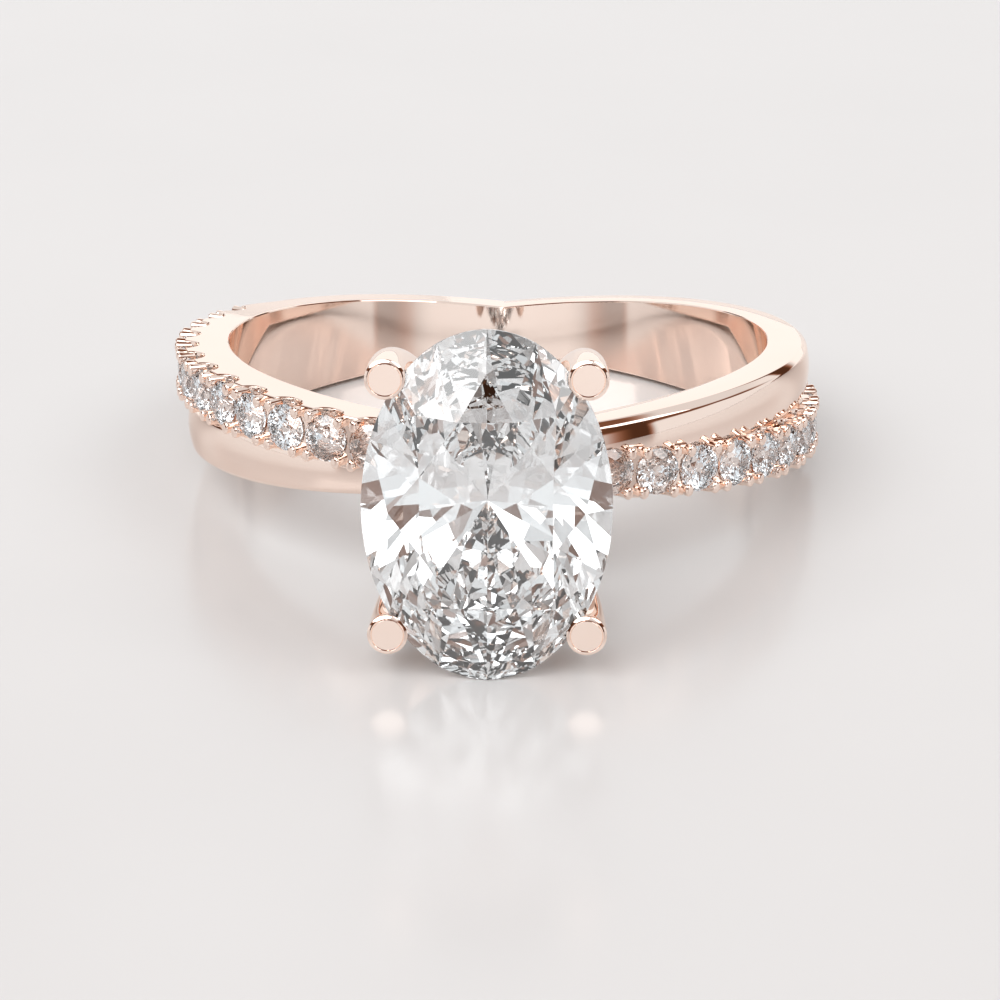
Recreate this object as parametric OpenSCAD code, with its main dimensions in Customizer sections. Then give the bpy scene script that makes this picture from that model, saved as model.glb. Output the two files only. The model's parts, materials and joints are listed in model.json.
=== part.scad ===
// Rose gold ring of two crossing strands, one plain and one pave set, with an oval stone on four prongs.
// Millimetres. The origin is the middle of the finger hole. The ring lies on its side, so that the hole
// runs almost along Z and the head points along -Y.
// Shapes are first placed upright, with the hole along Z. Their angles start at the head and grow
// towards +X. The whole ring then leans back until it rests on the stone's edge and the band.

/* [Finger hole] */
// Diameter of the hole for the finger
finger_d = 17.3; // [17.2:0.05:17.4]

/* [Strands] */
// Width of each strand along the finger
strand_w = 1.61; // [1.58:0.01:1.64]
// Thickness of the plain strand at its crown
plain_t = 1.36; // [1.34:0.01:1.4]
// Thickness of the pave strand between its stones
pave_t = 1.4; // [1.38:0.01:1.44]
// Thickness of the flat sides of the plain strand, below the bevel
flank_t = 1.08; // [1.02:0.01:1.12]
// Width of the bevel between a flat side and the domed face
bevel_w = 0.15; // [0.12:0.01:0.18]
// Height of the dome of the plain strand above its bevel
dome_h = 0.1; // [0.06:0.01:0.14]
// How far the middle of a strand sways from the middle of the ring
sway = 0.93; // [0.9:0.01:0.96]
// Part of the sway that steepens the crossings
sway_crossing = 0.025; // [0:0.005:0.04]
// Thickness of the inner wall that joins the two strands
liner_t = 0.95; // [0.9:0.01:1]

/* [Pave stones] */
// Number of pave stones on each side of the head
stones_a_side = 12; // [10:1:12]
// Angle from the head to the first pave stone
first_stone_angle = 20.5; // [20.5:0.5:22]
// Angle from one pave stone to the next
stone_pitch = 8.65; // [8.6:0.05:8.7]
// Diameter of a pave stone
pave_stone_d = 1.42; // [1.38:0.01:1.42]
// Height of a pave stone's girdle above the pave strand
girdle_lift = 0.04; // [0:0.01:0.06]
// Width of the notch cut in each side of the strand beside a stone
notch_w = 0.64; // [0.6:0.02:0.68]
// Depth of that notch, from the strand's face towards the finger
notch_depth = 0.42; // [0.38:0.01:0.44]
// Thickness of the strand that the two notches leave under a stone
notch_core_w = 1; // [0.96:0.02:1.04]
// Height of the small prongs above the pave strand
bead_rise = 0.32; // [0.28:0.01:0.34]
// Thickness of a small prong along the strand
bead_w = 0.33; // [0.3:0.01:0.34]
// Thickness of a small prong across the strand
bead_l = 0.42; // [0.4:0.01:0.44]

/* [Centre stone] */
// Length of the centre stone, along the finger
centre_l = 10.04; // [9.9:0.02:10.1]
// Width of the centre stone
centre_w = 6.98; // [6.9:0.02:7.04]
// Distance from the middle of the finger hole to the centre stone's girdle
centre_girdle_r = 14.55; // [14.4:0.05:14.7]
// Space left between each stone and the metal
stone_gap = 0.03; // [0.02:0.01:0.04]

/* [Head] */
// Diameter of a prong of the head
prong_d = 1.14; // [1.1:0.02:1.18]
// Distance between the prong tips along the finger
prong_span_l = 7.32; // [7.22:0.05:7.42]
// Distance between the prong tips across the finger
prong_span_w = 5.57; // [5.49:0.02:5.63]
// Height of the prong tips above the centre stone's girdle
tip_rise = 0.28; // [0.26:0.02:0.4]
// Width of the bevel round the flat end of a prong
tip_bevel = 0.09; // [0.06:0.01:0.1]
// Width of the boss that the four prongs grow from
boss_w = 2.9; // [2.6:0.1:3.1]

/* [Hidden] */
// Proportions of a brilliant cut, as shares of the stone's width
crown_share = 0.13;
girdle_share = 0.025;
pavilion_share = 0.43;
table_share = 0.57;
// Radii of the star facets' points and of the lower halves' points, as shares of the girdle radius
star_share = 0.78;
lower_share = 0.24;
// Main facets round a brilliant
mains = 8;

finger_r = finger_d / 2;
plain_r = finger_r + plain_t;
pave_r = finger_r + pave_t;
flank_r = finger_r + flank_t;
bevel_r = plain_r - dome_h;
liner_r = finger_r + liner_t;
// The inner sides of the strands and of the wall between them, before the finger hole is cut
blank_r = finger_r - 0.3;
liner_blank_r = finger_r - 0.15;
// Least half height of the inner wall, where the strands cross
liner_least = 0.3;
// Height of the small break of the pave strand's outer edges
pave_edge = 0.06;
// Angle over which the pave strand turns into a plain one past its last stone
fade = 7;
last_stone_angle = first_stone_angle + (stones_a_side - 1) * stone_pitch;
stone_count = 2 * stones_a_side;

pave_girdle_r = pave_r + girdle_lift;
notch_floor_r = pave_r - notch_depth;
bead_tip_r = pave_r + bead_rise;
bead_root_r = pave_r - 0.3;
// Height of the pointed crown of a small prong, as a share of its thickness
bead_crown = 0.4;
// Places of the four small prongs, from the stone's middle
bead_x = 0.548;
bead_y = strand_w / 2 + 0.055 - bead_l / 2;

prong_tip_r = centre_girdle_r + tip_rise;
// A prong's middle line runs from its root to its tip, drawn towards a low and a high pull between them.
// Each row is the offset across the finger, the distance from the finger's middle and the offset along it.
prong_root = [0.9, plain_r - 0.2, 0.6];
prong_low_pull = [2.6, 10.4, 3.4];
prong_high_pull = [2.82, 13, 3.82];
boss_top_r = plain_r + 0.75;
boss_root_r = plain_r - 0.5;
// The boss is narrower along the finger, and narrower at its top
boss_squash = 0.56;
boss_taper = 0.72;

// Steps round the ring, sides and rings of a prong, and sides of the small round shapes
ring_steps = 64;
prong_sides = 14;
prong_rings = 10;
bead_sides = 6;
seat_sides = 12;
notch_steps = 4;
centre_seat_sides = 48;
// Girdle points of each stone for each half facet
centre_girdle_sub = 3;
pave_girdle_sub = 1;

gold = [0.93, 0.7, 0.6];
diamond = [0.93, 0.95, 0.97];

function stone_name(k) = str("pave_stone_", k < 10 ? "0" : "", k);

// Height of the plain strand's middle at an angle; the pave strand mirrors it
function sway_at(a) = sway * sin(a) + sway_crossing * sin(3 * a);
// Slope of that height against the way round the ring, in degrees
function sway_slope(a, r) = atan((sway * cos(a) + 3 * sway_crossing * cos(3 * a)) / r);
function ring_point(a, r, z) = [r * sin(a), -r * cos(a), z];
function step_angle(i) = i * 360 / ring_steps - 180;
function mix(p, q, t) = p + (q - p) * t;
function unit(v) = v / norm(v);
// 1 where the strand carries stones, falling to 0 over the fade
function pave_share(a) =
    max(0, min(1, (last_stone_angle + stone_pitch / 2 + fade - abs(a)) / fade))
    * max(0, min(1, (abs(a) - first_stone_angle + stone_pitch / 2 + fade) / fade));

// Half of a strand's section, from its lower inner corner to its crown, as rows of radius and height
plain_half = [
    [blank_r, -strand_w / 2],
    [flank_r, -strand_w / 2],
    [bevel_r, -strand_w / 2 + bevel_w],
    [plain_r - dome_h * 0.3, -strand_w / 4],
];
pave_half = [
    [blank_r, -strand_w / 2],
    [pave_r - pave_edge, -strand_w / 2],
    [pave_r, -strand_w / 2 + pave_edge],
    [pave_r, -strand_w / 4],
];
function full_section(half, crown) =
    concat(half, [[crown, 0]], [for (i = [len(half) - 1 : -1 : 0]) [half[i][0], -half[i][1]]]);
plain_section = full_section(plain_half, plain_r);
pave_section = full_section(pave_half, pave_r);
function liner_section(h) = [[liner_blank_r, -h], [liner_r, -h], [liner_r, h], [liner_blank_r, h]];

// Angle of each pave stone: the first half of them run along -X, the rest along +X
function stone_angle(k) =
    k <= stones_a_side
        ? -(first_stone_angle + (k - 1) * stone_pitch)
        : first_stone_angle + (k - 1 - stones_a_side) * stone_pitch;

// Lean of the resting ring. A straight edge from the stone's lower end touches the band's lower edge.
rest_pivot_y = centre_girdle_r - centre_w * girdle_share / 2;
rest_lean = min([
    for (a = [90 : 1 : 180])
        atan((centre_l / 2 - sway_at(a) - strand_w / 2) / (rest_pivot_y - flank_r * cos(a)))
]);

// Triangles of a closed loop of sections, each a closed loop of points
function band_faces(rings, sides) = [
    for (i = [0 : rings - 1]) for (j = [0 : sides - 1])
        let (n = (i + 1) % rings, m = (j + 1) % sides)
            each [
                [i * sides + j, i * sides + m, n * sides + m],
                [i * sides + j, n * sides + m, n * sides + j]
            ]
];

// One strand or wall swept right round the finger hole
module ring_sweep(sections) {
    sides = len(sections[0]);
    polyhedron(
        points = [for (section = sections) each section],
        faces = band_faces(len(sections), sides),
        convexity = 8
    );
}

// A strand's section at every step, with its middle at side times the sway
module strand(side, pave) {
    ring_sweep([
        for (i = [0 : ring_steps - 1])
            let (a = step_angle(i), share = pave ? pave_share(a) : 0)
                [
                    for (j = [0 : len(plain_section) - 1])
                        let (p = mix(plain_section[j], pave_section[j], share))
                            ring_point(a, p[0], p[1] + side * sway_at(a))
                ]
    ]);
}

// The inner wall that closes the gap between the strands at the sides of the ring
module liner() {
    ring_sweep([
        for (i = [0 : ring_steps - 1])
            let (a = step_angle(i + 0.5))
                [
                    for (p = liner_section(max(liner_least, abs(sway_at(a)))))
                        ring_point(a, p[0], p[1])
                ]
    ]);
}

// Puts a shape that stands along Z, with X along the strand, at one pave stone's place
module at_stone(k) {
    a = stone_angle(k);
    rotate([0, 0, a])
        translate([0, 0, -sway_at(a)])
            rotate([90, 0, 0])
                rotate([0, 0, -sway_slope(a, pave_girdle_r)])
                    children();
}

// The room that a stone needs: its own shape, larger all round by the stone gap
module stone_room(half_w, half_l, girdle_r, sides) {
    width = 2 * half_w;
    girdle_h = width * girdle_share / 2;
    table_h = girdle_h + width * crown_share;
    culet_h = girdle_h + width * pavilion_share;
    translate([0, 0, girdle_r])
        scale([half_w + stone_gap, half_l + stone_gap, 1])
            rotate_extrude($fn = sides)
                polygon([
                    [0, -culet_h - stone_gap],
                    [1, -girdle_h - stone_gap],
                    [1, girdle_h + stone_gap],
                    [table_share, table_h + stone_gap],
                    [0, table_h + stone_gap]
                ]);
}

// The pair of round-bottomed notches beside one pave stone
module side_notches() {
    notch_r = notch_w / 2;
    for (s = [-1, 1])
        translate([0, s * (notch_core_w / 2 + strand_w / 2), 0])
            rotate([90, 0, 0])
                linear_extrude(strand_w, center = true)
                    polygon(concat(
                        [
                            for (i = [0 : notch_steps])
                                let (t = 180 + i * 180 / notch_steps)
                                    [notch_r * cos(t), notch_floor_r + notch_r + notch_r * sin(t)]
                        ],
                        [[notch_r, bead_tip_r], [-notch_r, bead_tip_r]]
                    ));
}

// The four small round-topped prongs at the corners of one pave stone
module beads() {
    for (sx = [-1, 1], sy = [-1, 1])
        translate([sx * bead_x, sy * bead_y, 0])
            scale([bead_w / 2, bead_l / 2, 1])
                rotate_extrude($fn = bead_sides)
                    polygon([
                        [0, bead_root_r],
                        [1, bead_root_r],
                        [1, bead_tip_r - bead_w * bead_crown],
                        [0, bead_tip_r]
                    ]);
}

module pave_strand() {
    difference() {
        strand(-1, true);
        for (k = [1 : stone_count]) at_stone(k) side_notches();
    }
    for (k = [1 : stone_count]) at_stone(k) beads();
}

// A point on one prong's middle line, at share t from its root to its tip
function prong_point(sx, sz, t) =
    let (
        tip = [prong_span_w / 2, prong_tip_r, prong_span_l / 2],
        p = prong_root * pow(1 - t, 3) + prong_low_pull * 3 * t * pow(1 - t, 2)
            + prong_high_pull * 3 * pow(t, 2) * (1 - t) + tip * pow(t, 3)
    )
    [sx * p[0], -p[1], sz * p[2]];
function prong_way(sx, sz, t) =
    t >= 1 ? [0, -1, 0] : unit(prong_point(sx, sz, t + 0.02) - prong_point(sx, sz, t - 0.02));

// One round of points about the middle line
function prong_ring(sx, sz, t, radius) =
    let (
        centre = prong_point(sx, sz, t),
        way = prong_way(sx, sz, t),
        across = unit(cross(way, [-sx * prong_span_l, 0, sz * prong_span_w])),
        along = cross(across, way)
    )
    [
        for (j = [0 : prong_sides - 1])
            let (b = j * 360 / prong_sides)
                centre + radius * (across * cos(b) + along * sin(b))
    ];

// One prong of the head: a bowed round bar with a flat, bevelled end
module prong(sx, sz) {
    radius = prong_d / 2;
    // Near the tip, the middle line rises three times the last pull's distance for each whole share
    bevel_t = 1 - tip_bevel / (prong_tip_r - prong_high_pull[1]) / 3;
    rings = concat(
        [for (i = [0 : prong_rings - 1]) prong_ring(sx, sz, bevel_t * i / (prong_rings - 1), radius)],
        [prong_ring(sx, sz, 1, radius - tip_bevel)]
    );
    last = (len(rings) - 1) * prong_sides;
    polyhedron(
        points = [for (ring = rings) each ring],
        faces = concat(
            [
                for (i = [0 : len(rings) - 2]) for (j = [0 : prong_sides - 1])
                    let (m = (j + 1) % prong_sides, n = i + 1)
                        each [
                            [i * prong_sides + j, i * prong_sides + m, n * prong_sides + m],
                            [i * prong_sides + j, n * prong_sides + m, n * prong_sides + j]
                        ]
            ],
            [[for (j = [prong_sides - 1 : -1 : 0]) j]],
            [[for (j = [0 : prong_sides - 1]) last + j]]
        ),
        convexity = 4
    );
}

// The four prongs and the boss that they grow from
module head() {
    for (sz = [-1, 1]) {
        prong(sz, sz);
        mirror([1, 0, 0]) prong(sz, sz);
    }
    rotate([90, 0, 0])
        translate([0, 0, boss_root_r])
            scale([1, boss_squash, 1])
                cylinder(
                    h = boss_top_r - boss_root_r,
                    d1 = boss_w,
                    d2 = boss_w * boss_taper,
                    $fn = centre_seat_sides / 2
                );
}

// Half width, half length and girdle places of a stone, and its girdle points for each half facet.
// Heights are measured from the middle of the girdle, towards the table.
module brilliant(half_w, half_l, sub) {
    width = 2 * half_w;
    girdle_h = width * girdle_share / 2;
    table_h = girdle_h + width * crown_share;
    culet_h = girdle_h + width * pavilion_share;
    half_turn = cos(180 / mains);
    // Stars and lower halves lie on the planes of the main facets
    star_h = girdle_h + width * crown_share * (1 - star_share * half_turn) / (1 - table_share);
    lower_h = girdle_h + width * pavilion_share * (1 - lower_share * half_turn);
    around = 2 * mains * sub;
    function ring(count, share, turn, h) = [
        for (i = [0 : count - 1])
            let (b = i * 360 / count + turn) [half_w * share * cos(b), half_l * share * sin(b), h]
    ];
    half_step = 180 / mains;
    low = 1;
    belt = low + mains;
    brow = belt + around;
    star = brow + around;
    table = star + mains;
    polyhedron(
        points = concat(
            [[0, 0, -culet_h]],
            ring(mains, lower_share, half_step, -lower_h),
            ring(around, 1, 0, -girdle_h),
            ring(around, 1, 0, girdle_h),
            ring(mains, star_share, half_step, star_h),
            ring(mains, table_share, 0, table_h)
        ),
        faces = concat(
            [
                for (i = [0 : mains - 1])
                    let (
                        n = (i + 1) % mains,
                        b = (mains + i - 1) % mains,
                        mid = 2 * sub * i,
                        next = (2 * sub * (i + 1)) % around
                    )
                    each concat(
                        [
                            [0, belt + mid, low + i],
                            [0, low + b, belt + mid],
                            [table + i, star + i, brow + mid],
                            [table + i, brow + mid, star + b],
                            [table + i, table + n, star + i]
                        ],
                        [
                            for (s = [0 : 2 * sub - 1])
                                let (g = mid + s, h = (mid + s + 1) % around)
                                    each [
                                        [low + i, belt + g, belt + h],
                                        [star + i, brow + h, brow + g],
                                        [belt + g, brow + h, belt + h],
                                        [belt + g, brow + g, brow + h]
                                    ]
                        ]
                    )
            ],
            [[for (i = [mains - 1 : -1 : 0]) table + i]]
        ),
        convexity = 2
    );
}

// Leans the upright ring back into its resting place
module resting() {
    rotate([-rest_lean, 0, 0]) children();
}

// All the metal, as one soldered piece. The plain swept shapes are joined first, at their own size.
module mounting() {
    color(gold)
        resting()
            difference() {
                resize([0, 0, 0])
                    difference() {
                        union() {
                            strand(1, false);
                            liner();
                            pave_strand();
                            head();
                        }
                        for (k = [1 : stone_count])
                            at_stone(k)
                                stone_room(pave_stone_d / 2, pave_stone_d / 2, pave_girdle_r, seat_sides);
                        rotate([90, 0, 0])
                            stone_room(centre_w / 2, centre_l / 2, centre_girdle_r, centre_seat_sides);
                    }
                cylinder(h = 2 * finger_d, r = finger_r, center = true, $fn = 96);
            }
}

module centre_stone() {
    color(diamond)
        resting()
            rotate([90, 0, 0])
                translate([0, 0, centre_girdle_r])
                    brilliant(centre_w / 2, centre_l / 2, centre_girdle_sub);
}

module pave_stone(k) {
    color(diamond)
        resting()
            at_stone(k)
                translate([0, 0, pave_girdle_r])
                    brilliant(pave_stone_d / 2, pave_stone_d / 2, pave_girdle_sub);
}

mounting();
centre_stone();
for (k = [1 : stone_count]) pave_stone(k);
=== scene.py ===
"""Looks of a rose gold ring: a plain and a pave strand that cross, and an oval diamond on four prongs.

The construction's solids are the frame. This script swaps the metal for smooth, finely rounded pieces
of the same sizes, cuts the oval diamond facet by facet, and gives every surface its finish.
"""

import json
import logging
import math
from dataclasses import dataclass
from enum import Enum
from typing import Any, Callable, Sequence

import bmesh
import bpy
from mathutils import Matrix, Vector

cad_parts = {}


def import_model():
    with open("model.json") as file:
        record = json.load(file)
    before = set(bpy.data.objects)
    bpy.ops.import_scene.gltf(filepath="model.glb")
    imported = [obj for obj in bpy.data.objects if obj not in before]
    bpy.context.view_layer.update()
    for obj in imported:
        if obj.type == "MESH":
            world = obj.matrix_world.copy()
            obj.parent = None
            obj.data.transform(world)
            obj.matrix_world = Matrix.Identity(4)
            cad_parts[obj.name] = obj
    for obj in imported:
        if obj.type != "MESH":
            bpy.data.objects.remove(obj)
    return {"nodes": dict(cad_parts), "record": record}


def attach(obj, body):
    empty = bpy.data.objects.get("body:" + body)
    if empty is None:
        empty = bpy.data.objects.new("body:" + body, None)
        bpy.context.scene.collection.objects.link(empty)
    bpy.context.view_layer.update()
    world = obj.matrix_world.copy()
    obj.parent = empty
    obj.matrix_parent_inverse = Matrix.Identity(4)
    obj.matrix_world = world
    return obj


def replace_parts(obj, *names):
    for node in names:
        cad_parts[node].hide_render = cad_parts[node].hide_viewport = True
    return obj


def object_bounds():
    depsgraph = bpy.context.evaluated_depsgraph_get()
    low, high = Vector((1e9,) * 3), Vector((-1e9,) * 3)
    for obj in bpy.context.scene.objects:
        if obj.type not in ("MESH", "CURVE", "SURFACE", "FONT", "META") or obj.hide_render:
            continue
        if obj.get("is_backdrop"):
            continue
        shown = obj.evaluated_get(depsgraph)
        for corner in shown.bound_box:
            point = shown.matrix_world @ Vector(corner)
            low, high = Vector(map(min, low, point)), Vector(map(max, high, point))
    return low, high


LOG = logging.getLogger("ring")
METRES_PER_MM = 0.001
CRISP_ANGLE = 20.0
QUARTER_TURN = Matrix.Rotation(math.pi / 2, 4, "X")

# Tolerances, in millimetres.
MICRON = 0.001
WELD = 1e-5
TOUCH = 1e-6

Point = Sequence[float]
Edge = tuple[float, float]


class Strand(Enum):
    """The two strands of the band. The value is the sign of the strand's sway from the middle."""

    PLAIN = 1
    PAVE = -1


class Joining(Enum):
    """How one shape changes another."""

    ADD = "UNION"
    CUT = "DIFFERENCE"


class Slot(Enum):
    """The record's material slots."""

    METAL = "rose_gold"
    CENTRE = "centre_diamond"
    PAVE = "pave_diamond"


@dataclass(frozen=True)
class RingForm:
    """Sizes and laws that the pieces share, for the upright ring, in millimetres and degrees.

    The finger hole's axis is Z, the head is along -Y, and angles start at the head and grow towards +X.
    """

    lean: float
    finger_r: float = 8.65
    strand_w: float = 1.61
    plain_r: float = 10.01
    pave_r: float = 10.05
    flank_r: float = 9.73
    bevel_w: float = 0.15
    dome_h: float = 0.1
    liner_r: float = 9.6
    sway: float = 0.93
    sway_crossing: float = 0.025
    stones_a_side: int = 12
    first_stone: float = 20.5
    pitch: float = 8.65
    fade: float = 7.0
    girdle_r: float = 10.09
    stone_d: float = 1.42
    stone_gap: float = 0.03

    @property
    def upright_to_rest(self) -> Matrix:
        """The turn and scale from the upright ring in millimetres to the resting ring in metres."""
        return Matrix.Scale(METRES_PER_MM, 4) @ Matrix.Rotation(-math.radians(self.lean), 4, "X")

    @property
    def last_stone(self) -> float:
        """Angle of the last pave stone on each side."""
        return self.first_stone + (self.stones_a_side - 1) * self.pitch

    def sway_at(self, angle: float, strand: Strand) -> float:
        """Height of a strand's middle line.

        Args:
            angle: angle from the head, in degrees.
            strand: which of the two strands.

        Returns:
            The height, in millimetres.
        """
        a = math.radians(angle)
        return strand.value * (self.sway * math.sin(a) + self.sway_crossing * math.sin(3 * a))

    def slope_at(self, angle: float, strand: Strand) -> float:
        """Slope of a strand's middle line.

        Args:
            angle: angle from the head, in degrees.
            strand: which of the two strands.

        Returns:
            The slope, in radians.
        """
        a = math.radians(angle)
        rise = self.sway * math.cos(a) + 3 * self.sway_crossing * math.cos(3 * a)
        return strand.value * math.atan(rise / self.girdle_r)

    def pave_share(self, angle: float) -> float:
        """How far the pave strand has the form that carries stones.

        Args:
            angle: angle from the head, in degrees.

        Returns:
            1 where it carries stones, falling to 0 where it is plain.
        """
        a, half = abs((angle + 180) % 360 - 180), self.pitch / 2
        beyond = (self.last_stone + half + self.fade - a) / self.fade
        before = (a - self.first_stone + half + self.fade) / self.fade
        return max(0.0, min(1.0, beyond)) * max(0.0, min(1.0, before))

    def crown_at(self, y: float) -> float:
        """The plain strand's bevelled and domed outer face.

        Args:
            y: offset across the strand.

        Returns:
            The face's distance from the finger hole's axis, in millimetres.
        """
        inner = self.strand_w / 2 - self.bevel_w
        if abs(y) > inner:
            share = (abs(y) - inner) / self.bevel_w
            return self.plain_r - self.dome_h + share * (self.flank_r - self.plain_r + self.dome_h)
        return self.plain_r - self.dome_h * (y / inner) ** 2

    def spot(self, angle: float, radius: float, across: float, strand: Strand) -> Vector:
        """A point of the upright ring, by its place on a strand.

        Args:
            angle: angle from the head, in degrees.
            radius: distance from the finger hole's axis.
            across: offset across the strand, square to its middle line.
            strand: the strand that the point belongs to.

        Returns:
            The point, in millimetres.
        """
        a, b = math.radians(angle), self.slope_at(angle, strand)
        middle = Vector((radius * math.sin(a), -radius * math.cos(a), self.sway_at(angle, strand)))
        way = Vector((-math.cos(a) * math.sin(b), -math.sin(a) * math.sin(b), math.cos(b)))
        return middle + across * way


class Value:
    """A shader socket, or a number, that Python's operators work on by adding Math nodes."""

    def __init__(self, shader: "Shader", socket: Any) -> None:
        """Wraps one output socket of a shader."""
        self.shader = shader
        self.socket = socket

    def _math(self, operation: str, first: Any, second: Any = 0.0) -> "Value":
        """Adds one Math node and returns its result."""
        return self.shader.node("ShaderNodeMath", {"operation": operation}, {0: first, 1: second})

    def __add__(self, other: Any) -> "Value":
        """self + other."""
        return self._math("ADD", self, other)

    __radd__ = __add__

    def __sub__(self, other: Any) -> "Value":
        """self - other."""
        return self._math("SUBTRACT", self, other)

    def __rsub__(self, other: Any) -> "Value":
        """other - self."""
        return self._math("SUBTRACT", other, self)

    def __mul__(self, other: Any) -> "Value":
        """self * other."""
        return self._math("MULTIPLY", self, other)

    __rmul__ = __mul__

    def __abs__(self) -> "Value":
        """The distance from 0."""
        return self._math("ABSOLUTE", self)

    def above(self, edge: float, blur: float) -> "Value":
        """0 below an edge and 1 above it, blurred over a width."""
        settings = {"interpolation_type": "SMOOTHSTEP"}
        return self.shader.node(
            "ShaderNodeMapRange", settings, {"Value": self, "From Min": edge - blur, "From Max": edge + blur}
        )


class Shader:
    """One node tree, filled by method calls."""

    def __init__(self, tree: bpy.types.NodeTree) -> None:
        """Empties the tree."""
        self.tree = tree
        tree.nodes.clear()

    def node(self, kind: str, settings: dict[str, Any], inputs: dict[Any, Any], output: Any = 0) -> Value:
        """Adds a node.

        Args:
            kind: the node's type.
            settings: its properties, set first.
            inputs: numbers, colours or values for its sockets, by name or place.
            output: the name or place of the socket that is returned.

        Returns:
            The chosen output.
        """
        made = self.tree.nodes.new(kind)
        for name, setting in settings.items():
            setattr(made, name, setting)
        for name, value in inputs.items():
            if isinstance(value, Value):
                self.tree.links.new(value.socket, made.inputs[name])
            else:
                made.inputs[name].default_value = value
        return Value(self, made.outputs[output] if made.outputs else None)

    def place(self, scale: Point = (1, 1, 1)) -> Value:
        """Object coordinates in millimetres.

        Args:
            scale: the stretch along each axis.

        Returns:
            The coordinates.
        """
        coordinates = self.node("ShaderNodeTexCoord", {}, {}, "Object")
        sizes = [s / METRES_PER_MM for s in scale]
        return self.node("ShaderNodeMapping", {}, {"Vector": coordinates, "Scale": sizes})

    def noise(self, scale: float, detail: float = 2.0, stretch: Point = (1, 1, 1)) -> Value:
        """Noise of about so many spots a millimetre."""
        return self.node(
            "ShaderNodeTexNoise", {}, {"Vector": self.place(stretch), "Scale": scale, "Detail": detail}
        )

    def blend(self, share: Any, first: Point, second: Point) -> Value:
        """A colour between two, by a share."""
        settings = {"data_type": "RGBA", "clamp_factor": True}
        return self.node("ShaderNodeMix", settings, {0: share, 6: (*first, 1), 7: (*second, 1)}, 2)


@dataclass(frozen=True)
class Finish:
    """A named finish. Each kind of finish adds its own nodes."""

    name: str

    def material(self) -> bpy.types.Material:
        """Makes the finish's material.

        Returns:
            The material.
        """
        material = bpy.data.materials.new(self.name)
        material.use_nodes = True
        shader = Shader(material.node_tree)
        shader.node("ShaderNodeOutputMaterial", {}, {"Surface": self.surface(shader)})
        return material

    def surface(self, shader: Shader) -> Value:
        """Adds the finish's nodes.

        Args:
            shader: the material's node tree.

        Returns:
            The surface shader.
        """
        raise NotImplementedError


@dataclass(frozen=True)
class PolishedGold(Finish):
    """Mirror polished rose gold with hairline polishing marks and a trace of handling.

    The sizes of clouds, smears and hairs are in spots a millimetre, and the hairs' depth is in metres.
    """

    light: Point = (0.98, 0.822, 0.735)
    deep: Point = (0.965, 0.785, 0.69)
    glancing: Point = (1.0, 0.96, 0.93)
    smooth: float = 0.03
    worn: float = 0.07
    cloud_size: float = 0.55
    smear_size: float = 3.5
    hair_size: float = 9.0
    hair_stretch: Point = (0.4, 0.4, 9.0)
    hair_depth: float = 0.00000012
    hair_strength: float = 0.5

    def surface(self, shader: Shader) -> Value:
        """Adds the finish's nodes."""
        cloud = shader.noise(self.cloud_size, detail=3.0)
        smear = shader.noise(self.smear_size, detail=4.0)
        hairs = shader.noise(self.hair_size, detail=3.0, stretch=self.hair_stretch)
        wear = cloud.above(edge=0.5, blur=0.2)
        rough = self.smooth + (self.worn - self.smooth) * (smear.above(edge=0.56, blur=0.14) * wear)
        relief = {"Height": hairs, "Distance": self.hair_depth, "Strength": self.hair_strength}
        bump = shader.node("ShaderNodeBump", {}, relief)
        return shader.node("ShaderNodeBsdfPrincipled", {}, {
            "Base Color": shader.blend(cloud, self.light, self.deep),
            "Metallic": 1.0,
            "Roughness": rough,
            "Normal": bump,
            "Specular Tint": (*self.glancing, 1.0),
        })


@dataclass(frozen=True)
class Diamond(Finish):
    """Clear diamond, with the faintest cloud in its colour."""

    clear: Point = (0.87, 0.895, 0.905)
    cloud: Point = (0.85, 0.88, 0.895)
    cloud_size: float = 0.4
    ior: float = 2.417

    def surface(self, shader: Shader) -> Value:
        """Adds the finish's nodes."""
        return shader.node("ShaderNodeBsdfPrincipled", {}, {
            "Base Color": shader.blend(shader.noise(self.cloud_size), self.clear, self.cloud),
            "Roughness": 0.0,
            "IOR": self.ior,
            "Transmission Weight": 1.0,
        })


@dataclass(frozen=True)
class PaleFloor(Finish):
    """A pale studio floor with a soft sheen and a faint mottle."""

    light: Point = (0.76, 0.76, 0.76)
    dark: Point = (0.73, 0.73, 0.73)
    smooth: float = 0.16
    rough: float = 0.21
    mottle_size: float = 0.08

    def surface(self, shader: Shader) -> Value:
        """Adds the finish's nodes."""
        mottle = shader.noise(self.mottle_size, detail=3.0)
        return shader.node("ShaderNodeBsdfPrincipled", {}, {
            "Base Color": shader.blend(mottle, self.light, self.dark),
            "Roughness": self.smooth + (self.rough - self.smooth) * mottle,
        })


def add_object(name: str, data: bpy.types.ID) -> bpy.types.Object:
    """Adds an object to the scene.

    Args:
        name: its name.
        data: its mesh, lamp or camera.

    Returns:
        The object.
    """
    made = bpy.data.objects.new(name, data)
    bpy.context.scene.collection.objects.link(made)
    return made


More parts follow.
